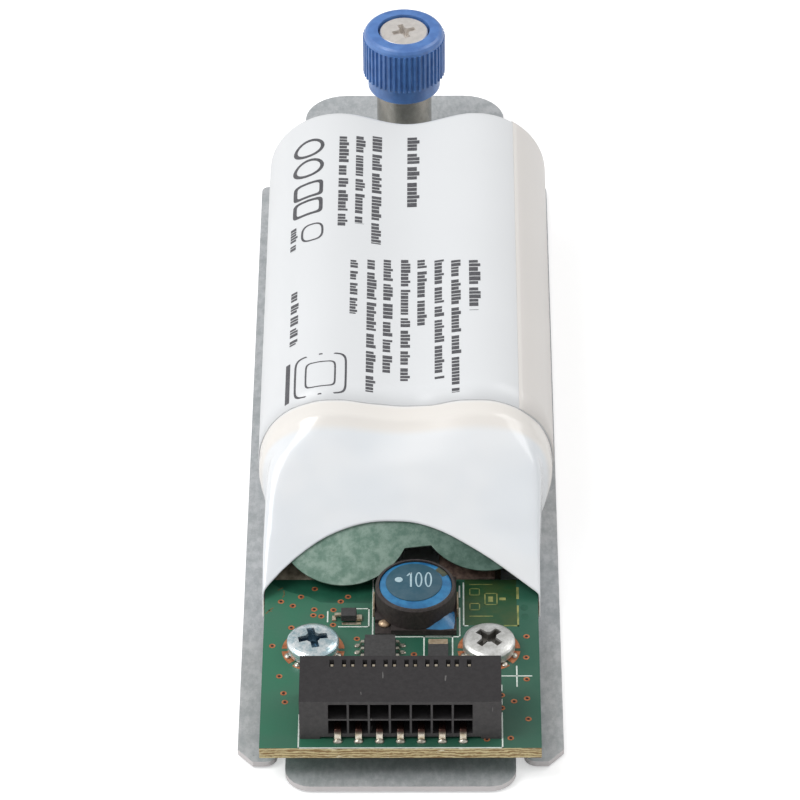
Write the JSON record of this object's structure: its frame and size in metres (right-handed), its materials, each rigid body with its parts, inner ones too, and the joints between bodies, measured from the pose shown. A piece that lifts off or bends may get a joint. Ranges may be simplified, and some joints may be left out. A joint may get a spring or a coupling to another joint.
{
  "type": "raid battery module",
  "caption": "Flat steel bracket carrying a sleeved battery pack, a charger board with a pin socket at the front and a captive thumbscrew at the rear.",
  "frame": {"origin": "under the middle of the bracket's box, on its underside", "axes": "+Y runs from the socket end to the thumbscrew end, +Z points away from the bracket's underside, +X is to the right seen from the socket"},
  "size_m": [0.04, 0.1442, 0.0209],
  "materials": {
    "galvanised_sheet": "satin",
    "zinc_plate": "satin",
    "nickel_plate": "polished",
    "spring_steel": "satin",
    "green_laminate": "satin",
    "black_nylon": "matte",
    "tinned_bronze": "satin",
    "ferrite_dark": "matte",
    "ferrite_face": "satin",
    "blue_resin": "glossy",
    "solder_tin": "satin",
    "black_epoxy": "matte",
    "tan_terminal": "satin",
    "nickel_strip": "satin",
    "cell_wrap": "satin",
    "fibre_paper": "matte",
    "foam_tape": "matte",
    "white_film": "glossy",
    "label_film": "satin",
    "blue_knob": "satin"
  },
  "bodies": {
    "module": {"bracket": "galvanised_sheet", "board_standoffs": "zinc_plate", "circuit_board": "green_laminate", "board_screws": "zinc_plate", "connector_housing": "black_nylon", "connector_contacts": "tinned_bronze", "inductor_base": "ferrite_dark", "inductor_shield": "ferrite_dark", "inductor_resin": "blue_resin", "inductor_core": "ferrite_face", "inductor_terminals": "solder_tin", "controller_chip": "black_epoxy", "chip_leads": "solder_tin", "diode_body": "black_epoxy", "diode_leads": "solder_tin", "resistor_body": "black_epoxy", "resistor_caps": "tan_terminal", "cell_left": "cell_wrap", "cell_right": "cell_wrap", "cell_link": "nickel_strip", "left_cell_tab": "nickel_strip", "right_cell_tab": "nickel_strip", "front_insulator": "fibre_paper", "rear_insulator": "fibre_paper", "adhesive_pad": "foam_tape", "shrink_sleeve": "white_film", "pack_label": "label_film", "screw_retainer": "nickel_plate"},
    "screw_carriage": {"captive_spring": "spring_steel"},
    "thumbscrew": {"captive_screw": "nickel_plate", "thumbscrew_knob": "blue_knob"}
  },
  "joints": [
    {"name": "thumbscrew_push", "type": "slide", "parent": "module", "child": "screw_carriage", "axis": [0, 0, 1], "range_m": [-0.0042, 0], "stiffness_N_per_m": 400, "springref_m": 0.004, "deforming": ["captive_spring"]},
    {"name": "thumbscrew_spin", "type": "hinge", "parent": "screw_carriage", "child": "thumbscrew", "pos_m": [0, 0.0599, 0.0165], "axis": [0, 0, 1], "continuous": true}
  ]
}
